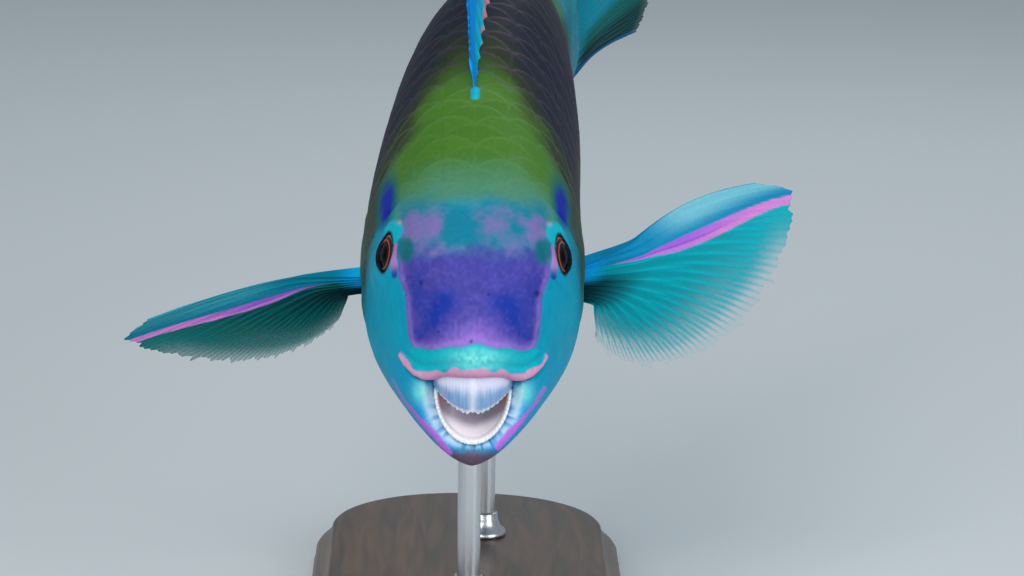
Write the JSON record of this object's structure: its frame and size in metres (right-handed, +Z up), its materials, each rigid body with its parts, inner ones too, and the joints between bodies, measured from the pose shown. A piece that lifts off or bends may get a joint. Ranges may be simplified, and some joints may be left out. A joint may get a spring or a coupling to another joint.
{
  "type": "parrotfish display model",
  "caption": "Life-size still model of a swimming parrotfish, head down with open beak and tail swung to its left, on a flat base with rods.",
  "frame": {"origin": "centre of the underside of the stand's base", "axes": "+Z up, the snout points along -Y, the fish's left is +X"},
  "size_m": [0.1729, 0.3063, 0.1871],
  "materials": {
    "skin": "wet scaled skin, turquoise cheeks, purple snout, green nape",
    "fin": "thin rayed membrane, turquoise with a violet band",
    "beak": "pale blue-white tooth enamel",
    "eye": "clear glossy eye, dark red iris",
    "stand_wood": "satin dark wood",
    "stand_steel": "brushed"
  },
  "bodies": {
    "root": {"head": "skin", "trunk": "skin", "tail_stalk": "skin", "dorsal_fin": "fin", "anal_fin": "fin", "caudal_fin": "fin", "pectoral_fin_left": "fin", "pectoral_fin_right": "fin", "pelvic_fin_left": "fin", "pelvic_fin_right": "fin", "beak_upper": "beak", "beak_lower": "beak", "eye_left": "eye", "eye_right": "eye", "stand_base": "stand_wood", "stand_rod_front": "stand_steel", "stand_rod_rear": "stand_steel"}
  },
  "joints": []
}
